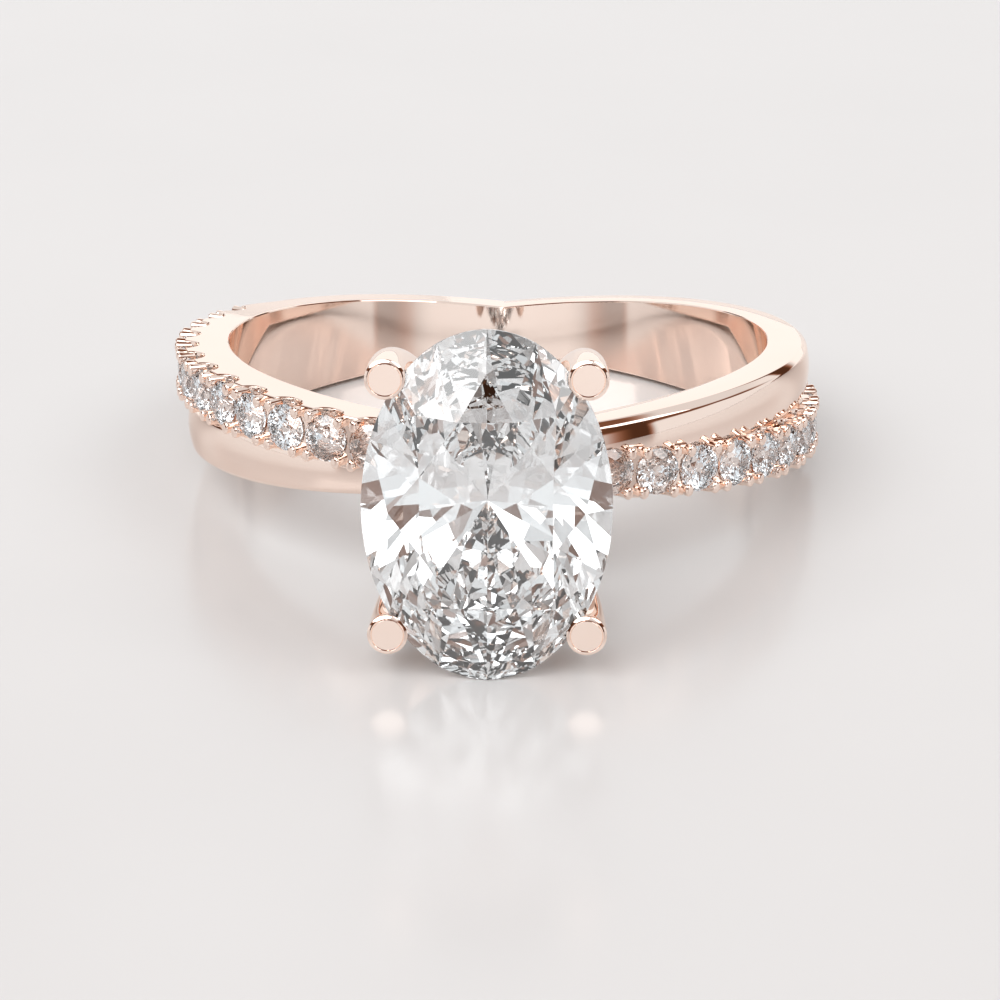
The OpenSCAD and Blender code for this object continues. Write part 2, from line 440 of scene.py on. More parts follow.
class Shape:
    """A bmesh in millimetres with the few operations that the pieces need."""

    def __init__(self) -> None:
        """Starts with an empty mesh."""
        self.bm = bmesh.new()

    def close(self) -> None:
        """Frees the mesh."""
        self.bm.free()

    def to_object(self, name: str) -> bpy.types.Object:
        """Adds an object with a copy of the mesh to the scene.

        Args:
            name: its name.

        Returns:
            The object.
        """
        mesh = bpy.data.meshes.new(name)
        self.bm.to_mesh(mesh)
        return add_object(name, mesh)

    def outline(self, points: Sequence[Point]) -> bmesh.types.BMFace:
        """Adds one face from its corners."""
        return self.bm.faces.new([self.bm.verts.new(p) for p in points])

    def round_off(self, geom: Sequence[Any], offset: float, segments: int) -> None:
        """Rounds edges, or corners of a flat face.

        Args:
            geom: the edges or the corners.
            offset: how far from them the rounding starts.
            segments: the number of steps in it.
        """
        corners = any(isinstance(part, bmesh.types.BMVert) for part in geom)
        bmesh.ops.bevel(
            self.bm, geom=geom, offset=offset, offset_type="OFFSET", segments=segments, profile=0.5,
            affect="VERTICES" if corners else "EDGES", material=-1, clamp_overlap=not corners,
        )

    def sharp_edges(self, least: float) -> list[bmesh.types.BMEdge]:
        """Edges whose two faces turn by more than an angle in degrees."""
        limit = math.radians(least)
        return [e for e in self.bm.edges if len(e.link_faces) == 2 and e.calc_face_angle(0.0) > limit]

    def move(self, matrix: Matrix) -> "Shape":
        """Applies a matrix to every point."""
        bmesh.ops.transform(self.bm, matrix=matrix, verts=self.bm.verts)
        return self

    def warp(self, law: Callable[[Vector], Vector]) -> None:
        """Moves every point by a law."""
        for vert in self.bm.verts:
            vert.co = law(vert.co)

    def slice(
        self, axis: int, places: Sequence[float], within: Callable[[Vector], bool] = lambda middle: True
    ) -> None:
        """Adds edges where planes square to an axis cross the mesh.

        Args:
            axis: the axis, 0 to 2.
            places: the planes' places along it.
            within: which faces are cut, by their middle.
        """
        normal = Vector((0, 0, 0))
        normal[axis] = 1.0
        for place in places:
            faces = [f for f in self.bm.faces if within(f.calc_center_median())]
            edges = [e for f in faces for e in f.edges]
            verts = [v for f in faces for v in f.verts]
            geom = list(dict.fromkeys([*faces, *edges, *verts]))
            bmesh.ops.bisect_plane(self.bm, geom=geom, dist=TOUCH, plane_co=normal * place, plane_no=normal)

    def spin(self, steps: int) -> None:
        """Sweeps the section that the mesh holds right round the Z axis.

        Args:
            steps: the number of steps round.
        """
        bmesh.ops.delete(self.bm, geom=self.bm.faces[:], context="FACES_ONLY")
        bmesh.ops.spin(
            self.bm, geom=[*self.bm.verts, *self.bm.edges], axis=(0, 0, 1), cent=(0, 0, 0),
            angle=math.tau, steps=steps, use_merge=True, use_duplicate=False,
        )
        self.weld()

    def weld(self, distance: float = WELD) -> None:
        """Merges points and turns every face outwards."""
        bmesh.ops.remove_doubles(self.bm, verts=self.bm.verts, dist=distance)
        bmesh.ops.recalc_face_normals(self.bm, faces=self.bm.faces)

    def take(self, other: "Shape", place: Matrix) -> None:
        """Adds a copy of another shape's mesh to this one.

        Args:
            other: the other shape.
            place: the copy's place.
        """
        mesh = bpy.data.meshes.new("part")
        other.bm.to_mesh(mesh)
        mesh.transform(place)
        self.bm.from_mesh(mesh)
        bpy.data.meshes.remove(mesh)

    def combine(self, tool: "Shape", joining: Joining) -> None:
        """Adds or cuts a closed shape, which is freed.

        Args:
            tool: the closed shape.
            joining: whether it is added or cut away.
        """
        objects = [shape.to_object("work") for shape in (self, tool)]
        change = objects[0].modifiers.new("join", "BOOLEAN")
        change.solver = "MANIFOLD"
        change.operation = joining.value
        change.object = objects[1]
        done = objects[0].evaluated_get(bpy.context.evaluated_depsgraph_get())
        self.bm.clear()
        self.bm.from_mesh(done.data)
        tool.close()
        for made in objects:
            mesh = made.data
            bpy.data.objects.remove(made)
            bpy.data.meshes.remove(mesh)

    def simplify(self, angle: float) -> None:
        """Joins faces that lie in one plane, within an angle in degrees."""
        bmesh.ops.dissolve_limit(
            self.bm, angle_limit=math.radians(angle), verts=self.bm.verts, edges=self.bm.edges
        )

    def crease_flats(self, axis: int, place: float) -> None:
        """Marks the borders of flat faces, so that they keep looking flat.

        Args:
            axis: the axis that the faces are square to, 0 to 2.
            place: the faces' distance from the middle along it.
        """
        flats = {
            f for f in self.bm.faces
            if abs(f.normal[axis]) > 0.9999 and abs(abs(f.calc_center_median()[axis]) - place) < MICRON
        }
        for edge in self.bm.edges:
            if len(flats.intersection(edge.link_faces)) == 1 and len(edge.link_faces) == 2:
                edge.smooth = False

    def open_edges(self) -> int:
        """Number of edges that aren't between two faces."""
        return sum(len(e.link_faces) != 2 for e in self.bm.edges)

    def finish(self, name: str, form: RingForm, crisp: float = CRISP_ANGLE) -> bpy.types.Object:
        """Makes the piece's object, resting and in metres, and frees the shape.

        Args:
            name: the piece's name.
            form: the ring's form, which gives the resting place.
            crisp: edges that turn by more than this angle in degrees look sharp. At 0, all do.

        Returns:
            The object, at the origin.
        """
        count = sum(len(f.verts) - 2 for f in self.bm.faces)
        LOG.info("%s: %d triangles, %d open edges", name, count, self.open_edges())
        for face in self.bm.faces:
            face.smooth = crisp > 0
        for edge in self.sharp_edges(crisp):
            edge.smooth = False
        piece = self.move(form.upright_to_rest).to_object(name)
        self.close()
        return piece


def dress(piece: bpy.types.Object, material: bpy.types.Material) -> bpy.types.Object:
    """Gives a new piece its finish, and lets it ride on the body.

    Args:
        piece: the piece.
        material: its finish.

    Returns:
        The same piece.
    """
    piece.data.materials.clear()
    piece.data.materials.append(material)
    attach(piece, "root")
    return piece


@dataclass
class InnerWall:
    """The smooth inside of the band, and the low wall that shows between the strands."""

    form: RingForm
    steps: int = 540
    rim_drop: float = 0.055
    skin_t: float = 0.35

    def build(self) -> bpy.types.Object:
        """Spins the wall's section round the finger and lets its rims follow the strands.

        Returns:
            The finished piece.
        """
        form, shape = self.form, Shape()
        rim = form.strand_w / 2 - self.rim_drop
        low = 2 * MICRON
        skin_r = form.finger_r + self.skin_t
        half = [(form.finger_r, rim), (skin_r, rim), (skin_r, low), (form.liner_r, low)]
        section = half + [(r, -z) for r, z in reversed(half)]
        shape.outline([(0, -r, z) for r, z in section])
        shape.spin(self.steps)
        shape.warp(lambda p: Vector((
            p.x, p.y, p.z + math.copysign(form.sway_at(angle_of(p), Strand.PLAIN), p.z)
        )))
        return shape.finish("inner_wall", form)


def angle_of(point: Vector) -> float:
    """Angle of a point from the head, towards +X, in degrees."""
    return math.degrees(math.atan2(point.x, -point.y))


@dataclass
class PlainStrand:
    """The polished strand: flat sides, a narrow bevel and a low dome."""

    form: RingForm
    steps: int = 540
    dome_points: int = 12
    hem: float = 0.004
    inner_round: float = 0.05
    edge_round: float = 0.045
    round_segments: int = 3

    def build(self) -> bpy.types.Object:
        """Spins the section and lets it sway.

        Returns:
            The finished piece.
        """
        form, shape = self.form, Shape()
        half_w = form.strand_w / 2
        dome_w = half_w - form.bevel_w
        dome = [dome_w * (1 - 2 * i / self.dome_points) for i in range(self.dome_points + 1)]
        corners = [(form.finger_r + self.hem, half_w), (form.flank_r, half_w)]
        section = corners + [(form.crown_at(z), z) for z in dome] + [(r, -z) for r, z in reversed(corners)]
        verts = list(shape.outline([(0, -r, z) for r, z in section]).verts)
        shape.round_off([verts[1], verts[2], verts[-2], verts[-3]], self.edge_round, self.round_segments)
        inner = [v for v in shape.bm.verts if -v.co.y < form.finger_r + 2 * self.hem]
        shape.round_off(inner, self.inner_round, self.round_segments)
        shape.spin(self.steps)
        shape.warp(lambda p: Vector((p.x, p.y, p.z + form.sway_at(angle_of(p), Strand.PLAIN))))
        return shape.finish("plain_strand", form)


@dataclass
class PaveStrand:
    """The strand that carries the small stones, made of one cell a stone and plain bars between.

    Cells lie flat along X. Y is the way across the strand and Z the distance from the finger's middle.
    """

    form: RingForm
    hem: float = 0.006
    edge_round: float = 0.05
    cell_weld: float = 0.002
    cell_round: float = 0.018
    worn_angle: float = 35
    worn_from_r: float = 9.0
    notch_sides: int = 32
    notch_w: float = 1.04
    notch_rim: float = 0.035
    notch_floor_r: float = 9.61
    core_w: float = 1.0
    bead_w: float = 0.32
    bead_l: float = 0.4
    bead_x: float = 0.51
    bead_y: float = 0.6
    bead_tip_r: float = 10.37
    bead_depth: float = 0.4
    bead_sides: int = 20
    bead_foot: float = 0.6
    bead_foot_round: float = 0.5
    bead_crown: float = 0.6
    across_slices: tuple[float, ...] = (-0.6, -0.4, -0.2, 0.0, 0.2, 0.4, 0.6)
    seat_sides: int = 48
    cell_slices: int = 14
    bar_step: float = 1.0
    press_floor_r: float = 9.5
    seam_weld: float = 3e-5

    @property
    def reach(self) -> float:
        """Length of one cell along the strand, at the girdles."""
        return math.radians(self.form.pitch) * self.form.girdle_r

    def section_bar(self, start: float, end: float) -> Shape:
        """A plain bar with the pave strand's section.

        Args:
            start: where it starts along the strand, in millimetres.
            end: where it ends.

        Returns:
            The closed bar.
        """
        form, shape = self.form, Shape()
        half_w, low = form.strand_w / 2, form.finger_r + self.hem
        section = [(-half_w, low), (half_w, low), (half_w, form.pave_r), (-half_w, form.pave_r)]
        face = shape.outline([(start, y, z) for y, z in section])
        shape.round_off(face.verts[:], self.edge_round, segments=2)
        end_face = bmesh.ops.extrude_face_region(shape.bm, geom=list(shape.bm.faces))
        moved = [v for v in end_face["geom"] if isinstance(v, bmesh.types.BMVert)]
        bmesh.ops.translate(shape.bm, vec=(end - start, 0, 0), verts=moved)
        bmesh.ops.recalc_face_normals(shape.bm, faces=shape.bm.faces)
        return shape

    def notches(self) -> Shape:
        """The round-bottomed slots in both sides of a cell, with chamfered rims.

        Returns:
            The two closed tools that cut the slots.
        """
        shape, radius = Shape(), self.notch_w / 2
        depth = self.form.strand_w / 2
        top = self.bead_tip_r + radius
        for side in (-1, 1):
            near = side * self.core_w / 2
            made = bmesh.ops.create_circle(shape.bm, cap_ends=True, segments=self.notch_sides, radius=radius)
            middle = Vector((0, near, self.notch_floor_r + radius))
            turn = Matrix.Translation(middle) @ QUARTER_TURN
            bmesh.ops.transform(shape.bm, matrix=turn, verts=made["verts"])
            for vert in made["verts"]:
                if vert.co.z > middle.z + MICRON:
                    vert.co.z = top
                    vert.co.x = math.copysign(radius, vert.co.x) if abs(vert.co.x) > MICRON else vert.co.x
            face = next(f for f in shape.bm.faces if f.verts[0] in made["verts"])
            out = bmesh.ops.extrude_face_region(shape.bm, geom=[face])
            moved = [v for v in out["geom"] if isinstance(v, bmesh.types.BMVert)]
            bmesh.ops.translate(shape.bm, vec=(0, side * depth, 0), verts=moved)
        straight = depth - self.notch_rim
        shape.slice(1, [-straight, straight])
        shape.warp(self.flare)
        shape.weld()
        return shape

    def flare(self, point: Vector) -> Vector:
        """Widens the slots towards the strand's side faces, which chamfers their rims.

        Args:
            point: a point of the flat tools.

        Returns:
            Its new place.
        """
        radius = self.notch_w / 2
        middle = self.notch_floor_r + radius
        grow = 1 + max(0.0, abs(point.y) - self.form.strand_w / 2 + self.notch_rim) / radius
        return Vector((point.x * grow, point.y, middle + (point.z - middle) * grow))

    def beads(self) -> Shape:
        """The four small prongs of a cell, rounded at both ends and narrower at the foot.

        Returns:
            The four closed prongs.
        """
        shape = Shape()
        root_r = self.form.pave_r - self.bead_depth
        height = (self.bead_tip_r - root_r) / (self.bead_w / 2)
        post = Shape()
        bmesh.ops.create_cone(
            post.bm, cap_ends=True, segments=self.bead_sides, radius1=self.bead_foot, radius2=1,
            depth=height, matrix=Matrix.Translation((0, 0, height / 2)),
        )
        rim = [e for e in post.bm.edges if min(v.co.z for v in e.verts) > height - MICRON]
        foot = [e for e in post.bm.edges if max(v.co.z for v in e.verts) < MICRON]
        post.round_off(rim, self.bead_crown, segments=4)
        post.round_off(foot, self.bead_foot_round, segments=2)
        size = Matrix.Diagonal((self.bead_w / 2, self.bead_l / 2, self.bead_w / 2, 1))
        for x in (-self.bead_x, self.bead_x):
            for y in (-self.bead_y, self.bead_y):
                shape.take(post, Matrix.Translation((x, y, root_r)) @ size)
        post.close()
        return shape

    def cell(self) -> Shape:
        """One stone's stretch of the strand, flat, with its seat, notches and small prongs.

        Returns:
            The cell, open at both ends.
        """
        form, half = self.form, self.reach / 2
        shape = self.section_bar(-half, half)
        shape.combine(self.notches(), Joining.CUT)
        shape.combine(self.beads(), Joining.ADD)
        room = stone_room(form.stone_d, form.stone_d, form.girdle_r, form.stone_gap, self.seat_sides)
        shape.combine(room, Joining.CUT)
        shape.weld(self.cell_weld)
        shape.simplify(angle=1.0)
        worn = [
            e for e in shape.sharp_edges(self.worn_angle)
            if all(abs(v.co.x) < half - MICRON and v.co.z > self.worn_from_r for v in e.verts)
        ]
        shape.round_off(worn, self.cell_round, segments=2)
        bmesh.ops.triangulate(shape.bm, faces=shape.bm.faces)
        shape.slice(0, [half * (2 * i / self.cell_slices - 1) for i in range(1, self.cell_slices)])
        self.drop_ends(shape, -half, half)
        self.slice_across(shape, half * (1 - 2 / self.cell_slices))
        shape.crease_flats(1, form.strand_w / 2)
        shape.crease_flats(2, form.pave_r)
        LOG.info("cell: %d faces, %d open edges", len(shape.bm.faces), shape.open_edges())
        return shape

    def slice_across(self, shape: Shape, beyond: float) -> None:
        """Cuts the parts farther along than a length at the places where the bars are cut too."""
        places = [self.form.strand_w / 2 * share for share in self.across_slices]
        shape.slice(1, places, lambda middle: abs(middle.x) > beyond)

    @staticmethod
    def drop_ends(shape: Shape, start: float, end: float) -> None:
        """Takes the end faces away, so that bars and cells join.

        Args:
            shape: the bar or cell.
            start: where it starts along the strand.
            end: where it ends.
        """
        ends = [
            f for f in shape.bm.faces
            if any(all(abs(v.co.x - place) < MICRON for v in f.verts) for place in (start, end))
        ]
        bmesh.ops.delete(shape.bm, geom=ends, context="FACES")

    def bar(self, first: float, last: float) -> Shape:
        """A plain stretch of the strand, flat, and sliced so that it bends well.

        Args:
            first: the angle where it starts.
            last: the angle where it ends.

        Returns:
            The bar, open at both ends.
        """
        mm = self.reach / self.form.pitch
        shape = self.section_bar(first * mm, last * mm)
        count = round((last - first) / self.bar_step)
        shape.slice(0, [(first + (last - first) * i / count) * mm for i in range(1, count)])
        self.drop_ends(shape, first * mm, last * mm)
        return shape

    def wrap(self, point: Vector) -> Vector:
        """Bends the flat strand round the finger, and lowers it to the plain form past the stones.

        Args:
            point: a point of the flat strand.

        Returns:
            Its place on the upright ring.
        """
        form = self.form
        angle = point.x * form.pitch / self.reach
        press = max(0.0, point.z - self.press_floor_r) / (form.pave_r - self.press_floor_r)
        drop = (1 - form.pave_share(angle)) * press * (form.pave_r - form.crown_at(point.y))
        return form.spot(angle, point.z - drop, point.y, Strand.PAVE)

    def build(self) -> bpy.types.Object:
        """Lines up the cells and the bars, bends them round and welds them.

        Returns:
            The finished piece.
        """
        form, shape, cell = self.form, Shape(), self.cell()
        half = form.pitch / 2
        first, last = form.first_stone - half, form.last_stone + half
        for start, end in ((-first, first), (last, 360 - last)):
            stretch = self.bar(start, end)
            self.slice_across(stretch, beyond=-1.0)
            shape.take(stretch, Matrix())
            stretch.close()
        for k in range(form.stones_a_side):
            for side in (-1, 1):
                along = side * (form.first_stone + k * form.pitch) * self.reach / form.pitch
                shape.take(cell, Matrix.Translation((along, 0, 0)))
        cell.close()
        shape.warp(self.wrap)
        shape.weld(self.seam_weld)
        return shape.finish("pave_strand", form)


def stone_room(width: float, length: float, girdle_r: float, gap: float, sides: int) -> Shape:
    """The room that a stone needs, a little larger than the stone.

    Args:
        width: the stone's width, along X.
        length: its length, along Y.
        girdle_r: the girdle's distance from the finger's middle, along Z.
        gap: the space all round the stone.
        sides: the number of sides.

    Returns:
        The closed shape.
    """
    cut, shape = BrilliantCut(width, length), Shape()
    profile = [
        (0, cut.culet - gap), (1, -cut.girdle - gap), (1, cut.girdle + gap),
        (cut.table_share, cut.table + gap), (0, cut.table + gap),
    ]
    verts = [shape.bm.verts.new((x, 0, z)) for x, z in profile]
    for pair in zip(verts, verts[1:]):
        shape.bm.edges.new(pair)
    shape.spin(sides)
    size = Matrix.Diagonal((width / 2 + gap, length / 2 + gap, 1, 1))
    return shape.move(Matrix.Translation((0, 0, girdle_r)) @ size)


@dataclass(frozen=True)
class BrilliantCut:
    """Proportions of a brilliant. Heights are from the middle of the girdle, in millimetres."""

    width: float
    length: float
    crown_share: float = 0.13
    girdle_share: float = 0.025
    pavilion_share: float = 0.43
    table_share: float = 0.57
    star_share: float = 0.78
    lower_share: float = 0.24
    mains: int = 8

    @property
    def girdle(self) -> float:
        """Half the girdle's height."""
        return self.width * self.girdle_share / 2

    @property
    def table(self) -> float:
        """Height of the table."""
        return self.girdle + self.width * self.crown_share

    @property
    def culet(self) -> float:
        """Height of the culet, which is below the girdle."""
        return -self.girdle - self.width * self.pavilion_share

    def height(self, share: float, turn: float, crown: bool) -> float:
        """Height of the main facets' planes.

        Args:
            share: distance from the middle, as a share of the girdle's.
            turn: angle from the nearest main facet, in degrees.
            crown: whether the facets are the crown's.

        Returns:
            The height, in millimetres.
        """
        out = share * math.cos(math.radians(turn))
        if crown:
            return self.girdle + self.width * self.crown_share * (1 - out) / (1 - self.table_share)
        return -self.girdle - self.width * self.pavilion_share * (1 - out)

    def facet_planes(self, turned: float) -> list[tuple[Vector, Vector, Vector]]:
        """Three points of each facet's plane, on a stone of radius 1.

        Args:
            turned: angle of the first main facet, in degrees.

        Returns:
            The points of the crown's and then the pavilion's facets.
        """
        step = 360 / self.mains
        half = step / 2
        star_h = self.height(self.star_share, half, True)
        lower_h = self.height(self.lower_share, half, False)

        def at(share: float, turn: float, z: float) -> Vector:
            """A point by its share of the radius, its angle and its height."""
            a = math.radians(turn)
            return Vector((share * math.cos(a), share * math.sin(a), z))

        planes = []
        for i in range(self.mains):
            b = i * step + turned
            star, lower = at(self.star_share, b + half, star_h), at(self.lower_share, b + half, lower_h)
            corner = at(self.table_share, b, self.table)
            next_corner = at(self.table_share, b + step, self.table)
            foot = at(1, b, self.girdle)
            planes.append((corner, foot, at(self.star_share, b - half, star_h)))
            planes.append((corner, next_corner, star))
            for turn in (b, b + step):
                planes.append((at(1, turn, self.girdle), at(1, b + half, self.girdle), star))
                planes.append((at(1, turn, -self.girdle), at(1, b + half, -self.girdle), lower))
            near = at(self.lower_share, b - half, lower_h)
            planes.append((Vector((0, 0, self.culet)), at(1, b, -self.girdle), near))
        return planes


@dataclass
class CentreStone:
    """The oval diamond, ground from a blank by one flat cut for each facet."""

    form: RingForm
    width: float = 6.98
    length: float = 10.039
    girdle_r: float = 14.55
    turned: float = 22.5
    blank_sides: int = 160

    def build(self) -> bpy.types.Object:
        """Cuts the blank, and stands it in the head.

        Returns:
            The finished piece.
        """
        cut, shape = BrilliantCut(self.width, self.length), Shape()
        bmesh.ops.create_cone(
            shape.bm, cap_ends=True, segments=self.blank_sides, radius1=1, radius2=1,
            depth=cut.table - cut.culet, matrix=Matrix.Translation((0, 0, (cut.table + cut.culet) / 2)),
        )
        middle = Vector((0, 0, 0))
        for a, b, c in cut.facet_planes(self.turned):
            normal = (b - a).cross(c - a).normalized()
            if (middle - a).dot(normal) > 0:
                normal.negate()
            self.grind(shape, a, normal)
        shape.weld()
        size = Matrix.Diagonal((self.width / 2, self.length / 2, 1, 1))
        stand = QUARTER_TURN @ Matrix.Translation((0, 0, self.girdle_r))
        shape.move(stand @ size)
        return shape.finish("centre_diamond", self.form, crisp=0.0)

    @staticmethod
    def grind(shape: Shape, point: Vector, normal: Vector) -> None:
        """Takes away what lies beyond a plane, and closes the cut with one flat facet.

        Args:
            shape: the closed blank.
            point: a point of the plane.
            normal: the way out of the stone, square to the plane.
        """
        geom = [*shape.bm.verts, *shape.bm.edges, *shape.bm.faces]
        made = bmesh.ops.bisect_plane(
            shape.bm, geom=geom, dist=TOUCH, plane_co=point, plane_no=normal, clear_outer=True
        )
        rim = [e for e in made["geom_cut"] if isinstance(e, bmesh.types.BMEdge) and e.is_boundary]
        if rim:
            bmesh.ops.contextual_create(shape.bm, geom=rim)


@dataclass
class Head:
    """The four bowed prongs with flat ends, and the boss that they grow from."""

    form: RingForm
    stone: CentreStone
    prong_r: float = 0.57
    span_across: float = 5.57
    span_along: float = 7.32
    tip_r: float = 14.83
    tip_bevel: float = 0.09
    tip_rise: float = 0.05
    tip_round: float = 0.01
    tip_line: float = 0.016
    tip_zone: float = 0.2
    root: Point = (0.9, 9.81, 0.6)
    low_pull: Point = (2.6, 10.4, 3.4)
    high_pull: Point = (2.82, 13.0, 3.82)
    steps: int = 28
    sides: int = 40
    seat_sides: int = 128
    seam_weld: float = 1e-4
    boss_sides: int = 64
    boss_round: float = 0.12
    boss_w: float = 2.9
    boss_squash: float = 0.56
    boss_taper: float = 0.72
    boss_top_r: float = 10.76
    boss_root_r: float = 9.51

    def line(self, t: float, sx: int, sz: int) -> Vector:
        """A point of a prong's middle line.

        Args:
            t: share of the way from the prong's root to its tip.
            sx: 1 for a prong on the +X side, -1 for one on the -X side.
            sz: 1 for an upper prong, -1 for a lower one.

        Returns:
            The point, on the upright ring.
        """
        tip = (self.span_across / 2, self.tip_r - self.tip_rise, self.span_along / 2)
        weights = ((1 - t) ** 3, 3 * t * (1 - t) ** 2, 3 * t ** 2 * (1 - t), t ** 3)
        rows = (self.root, self.low_pull, self.high_pull, tip)
        x, r, z = (sum(w * row[i] for w, row in zip(weights, rows)) for i in range(3))
        return Vector((sx * x, -r, sz * z))

    def frame(self, t: float, sx: int, sz: int) -> Matrix:
        """Place and turn of a prong's round section.

        Args:
            t: share of the way from the prong's root to its tip.
            sx: the prong's side along X, 1 or -1.
            sz: its side along Z, 1 or -1.

        Returns:
            The section's matrix.
        """
        near = 0.02
        way = Vector((0, -1, 0))
        if t < 1:
            way = (self.line(t + near, sx, sz) - self.line(t - near, sx, sz)).normalized()
        across = way.cross(Vector((-sx * self.span_along, 0, sz * self.span_across))).normalized()
        turn = Matrix((across, way.cross(across), way)).transposed().to_4x4()
        return Matrix.Translation(self.line(t, sx, sz)) @ turn

    def prong(self, sx: int, sz: int) -> Shape:
        """One prong, swept along its line, with a bevelled flat end.

        Args:
            sx: the prong's side along X, 1 or -1.
            sz: its side along Z, 1 or -1.

        Returns:
            The closed prong.
        """
        shape = Shape()
        made = bmesh.ops.create_circle(shape.bm, cap_ends=True, segments=self.sides, radius=self.prong_r)
        place = self.frame(0.0, sx, sz)
        bmesh.ops.transform(shape.bm, matrix=place, verts=made["verts"])
        rim = shape.bm.edges[:]
        for i in range(1, self.steps + 1):
            ahead = self.frame(i / self.steps, sx, sz)
            grown = bmesh.ops.extrude_edge_only(shape.bm, edges=rim)["geom"]
            verts = [v for v in grown if isinstance(v, bmesh.types.BMVert)]
            rim = [e for e in grown if isinstance(e, bmesh.types.BMEdge)]
            bmesh.ops.transform(shape.bm, matrix=ahead @ place.inverted(), verts=verts)
            place = ahead
        end = bmesh.ops.contextual_create(shape.bm, geom=rim)["faces"][0]
        bmesh.ops.recalc_face_normals(shape.bm, faces=shape.bm.faces)
        bmesh.ops.inset_individual(shape.bm, faces=[end], thickness=self.tip_bevel, depth=self.tip_rise)
        zone = self.tip_r - self.tip_zone
        top = [e for e in shape.sharp_edges(CRISP_ANGLE) if min(-v.co.y for v in e.verts) > zone]
        shape.round_off(top, self.tip_round, segments=2)
        disc = max((f for f in shape.bm.faces if f.normal.y < -0.99), key=lambda f: f.calc_area())
        for depth in (-self.tip_line, self.tip_line):
            bmesh.ops.inset_individual(shape.bm, faces=[disc], thickness=self.tip_line, depth=depth)
        return shape

    def boss(self) -> Shape:
        """The tapered oval boss under the prongs.

        Returns:
            The closed boss.
        """
        shape = Shape()
        height = self.boss_top_r - self.boss_root_r
        bmesh.ops.create_cone(
            shape.bm, cap_ends=True, segments=self.boss_sides, radius1=self.boss_w / 2,
            radius2=self.boss_w / 2 * self.boss_taper, depth=height,
            matrix=Matrix.Translation((0, 0, self.boss_root_r + height / 2)),
        )
        top = [e for e in shape.bm.edges if min(v.co.z for v in e.verts) > self.boss_top_r - MICRON]
        shape.round_off(top, self.boss_round, segments=4)
        squash = Matrix.Diagonal((1, self.boss_squash, 1, 1))
        return shape.move(QUARTER_TURN @ squash)

    def build(self) -> bpy.types.Object:
        """Joins the prongs and the boss, and cuts the stone's seat.

        Returns:
            The finished piece.
        """
        shape = self.boss()
        for sx in (-1, 1):
            for sz in (-1, 1):
                shape.combine(self.prong(sx, sz), Joining.ADD)
        stone = self.stone
        room = stone_room(stone.width, stone.length, stone.girdle_r, self.form.stone_gap, self.seat_sides)
        shape.combine(room.move(QUARTER_TURN), Joining.CUT)
        shape.weld(self.seam_weld)
        return shape.finish("head", self.form)


@dataclass(frozen=True)
class Softbox:
    """A large lamp that points at the ring. Angles are from the camera's side and above the floor."""

    name: str
    azimuth: float
    elevation: float
    distance: float
    width: float
    height: float
    brightness: float
    colour: Point = (1.0, 1.0, 1.0)

    def build(self, target: Vector) -> None:
        """Makes the lamp.

        Args:
            target: the point that it is aimed at.
        """
        lamp = bpy.data.lights.new(self.name, "AREA")
        lamp.shape = "RECTANGLE"
        lamp.size, lamp.size_y = self.width, self.height
        lamp.energy, lamp.color = self.brightness * math.pi * self.width * self.height, self.colour
        made = add_object(self.name, lamp)
        a, e = math.radians(self.azimuth), math.radians(self.elevation)
        back = Vector((math.sin(a) * math.cos(e), -math.cos(a) * math.cos(e), math.sin(e)))
        made.location = target + back * self.distance
        made.rotation_euler = back.to_track_quat("Z", "Y").to_euler()


@dataclass(frozen=True)
class Backdrop:
    """Bright walls round the ring with dark gaps between, and a bright band above them.

    An edge is a place and the width that it is blurred over. Places round the ring are in degrees from
    the camera's side, and heights are the upward part of a direction.
    """

    front_end: Edge = (39, 11)
    wing_start: Edge = (57, 2.5)
    wing_end: Edge = (118, 2.5)
    rear_start: Edge = (135, 6)
    wall_slant: float = 62
    belt_bottom: Edge = (0.26, 0.03)
    belt_end: Edge = (122, 12)
    belt_dimming: float = 0.9
    band_bottom: Edge = (0.52, 0.07)
    band_top: Edge = (0.9, 0.04)
    front_light: float = 0.96
    wing_light: float = 0.84
    rear_light: float = 1.06
    band_light: float = 0.72
    zenith_light: float = 0.12
    gap_light: float = 0.08
    dim: Edge = (0.45, 0.35)
    dim_tint: Point = (1.0, 0.4, 0.2)
    bright_tint: Point = (0.985, 0.995, 1.0)

    def build(self) -> bpy.types.World:
        """Paints the surroundings by their direction.

        Returns:
            The world.
        """
        world = bpy.data.worlds.new("studio")
        world.use_nodes = True
        shader = Shader(world.node_tree)
        way = shader.node("ShaderNodeTexCoord", {}, {}, "Generated")
        x, y, up = (shader.node("ShaderNodeSeparateXYZ", {}, {"Vector": way}, axis) for axis in "XYZ")
        turn = shader.node("ShaderNodeMath", {"operation": "ARCTAN2"}, {0: x, 1: -1.0 * y})
        side = abs(turn) * math.degrees(1)
        far = side - self.wall_slant * up
        front = 1.0 - side.above(*self.front_end)
        wings = side.above(*self.wing_start) * (1.0 - far.above(*self.wing_end))
        rear = far.above(*self.rear_start)
        belt = (1.0 - side.above(*self.belt_end)) * up.above(*self.belt_bottom)
        band = up.above(*self.band_bottom)
        walls = self.front_light * front + self.wing_light * wings + self.rear_light * rear
        walls = walls * (1.0 - self.belt_dimming * belt) * (1.0 - band)
        fall = self.band_light - self.zenith_light
        light = self.gap_light + walls + band * (self.band_light - fall * up.above(*self.band_top))
        tint = shader.blend(light.above(*self.dim), self.dim_tint, self.bright_tint)
        glow = shader.node("ShaderNodeBackground", {}, {"Color": tint, "Strength": light})
        shader.node("ShaderNodeOutputWorld", {}, {"Surface": glow})
        return world


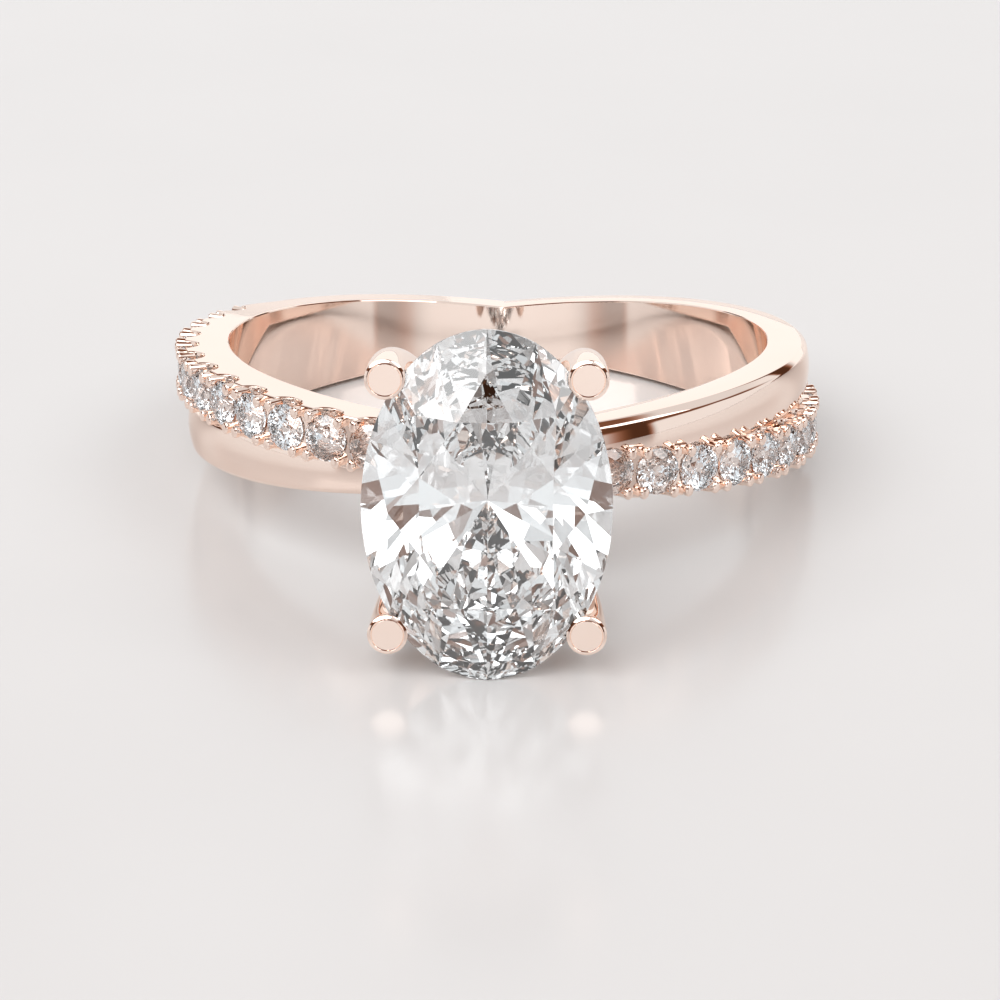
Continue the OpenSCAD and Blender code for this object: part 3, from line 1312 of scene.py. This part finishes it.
@dataclass
class Studio:
    """The pale floor, the lamps, the soft surroundings and the camera."""

    form: RingForm
    floor_z: float
    floor_r: float = 2.5
    floor_sides: int = 96
    camera_distance: float = 96.3
    camera_elevation: float = 13.28
    camera_azimuth: float = 1.207
    aim: Point = (0.065, 0.0, -3.827)
    lens: float = 106.9
    sensor: float = 36.0
    nearest: float = 0.001
    farthest: float = 10.0
    passes: int = 24
    mirrorings: int = 12
    spark_limit: float = 6.0
    backdrop: Backdrop = Backdrop()
    lamps: tuple[Softbox, ...] = (
        Softbox("key", -34, 50, 0.55, 0.6, 0.45, 2.35),
        Softbox("fill", 62, 46, 0.6, 0.35, 0.35, 1.6),
    )

    def floor(self) -> None:
        """Lays the floor under the ring."""
        shape = Shape()
        bmesh.ops.create_circle(shape.bm, cap_ends=True, segments=self.floor_sides, radius=self.floor_r)
        floor = shape.move(Matrix.Translation((0, 0, self.floor_z))).to_object("floor")
        shape.close()
        floor.data.materials.append(PaleFloor("pale_floor").material())
        floor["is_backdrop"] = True

    def camera(self) -> None:
        """Sets the camera at the photograph's angle to the ring."""
        a, e = math.radians(self.camera_azimuth), math.radians(self.camera_elevation)
        place = self.camera_distance * Vector((
            math.sin(a) * math.cos(e), -math.cos(a) * math.cos(e), math.sin(e)
        ))
        back = (place - Vector(self.aim)).normalized()
        right = Vector((0, 0, 1)).cross(back).normalized()
        turn = Matrix((right, back.cross(right), back)).transposed().to_4x4()
        stand = self.form.upright_to_rest @ Matrix.Translation(place) @ turn
        lens = bpy.data.cameras.new("camera")
        lens.lens, lens.sensor_width = self.lens, self.sensor
        lens.clip_start, lens.clip_end = self.nearest, self.farthest
        made = add_object("camera", lens)
        made.matrix_world = Matrix.LocRotScale(stand.to_translation(), stand.to_quaternion(), None)
        bpy.context.scene.camera = made

    def tone(self) -> None:
        """Sets the picture's tones, and lets light pass often enough through the stones."""
        scene = bpy.context.scene
        scene.view_settings.view_transform = "Standard"
        scene.cycles.max_bounces = self.passes
        scene.cycles.transmission_bounces = self.passes
        scene.cycles.glossy_bounces = self.mirrorings
        scene.cycles.sample_clamp_indirect = self.spark_limit

    def build(self) -> None:
        """Makes all of it."""
        self.floor()
        self.camera()
        target = Vector((0, 0, 0))
        for lamp in self.lamps:
            lamp.build(target)
        bpy.context.scene.world = self.backdrop.build()
        self.tone()


def main() -> None:
    """Builds the pieces round the frame, and the studio."""
    logging.basicConfig(level=logging.INFO, format="%(name)s: %(message)s")
    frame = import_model()
    cad_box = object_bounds()
    axis = frame["record"]["mounts"][0]["axis"]
    form = RingForm(lean=math.degrees(math.atan2(axis[1], axis[2])))
    LOG.info("the ring leans by %.3f degrees", form.lean)
    Studio(form, floor_z=cad_box[0].z).build()

    gold = PolishedGold("polished_rose_gold").material()
    stone = CentreStone(form)
    for part in (InnerWall(form), PlainStrand(form), PaveStrand(form), Head(form, stone)):
        piece = dress(part.build(), gold)
        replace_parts(piece, "mounting")
    diamond = Diamond("oval_diamond").material()
    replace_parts(dress(stone.build(), diamond), "centre_stone")
    small = Diamond(Slot.PAVE.value, clear=(0.87, 0.94, 1.0), cloud=(0.85, 0.93, 0.99)).material()
    for name, node in frame["nodes"].items():
        if name.startswith("pave_stone"):
            node.data.materials.clear()
            node.data.materials.append(small)


if __name__ == "__main__":
    main()
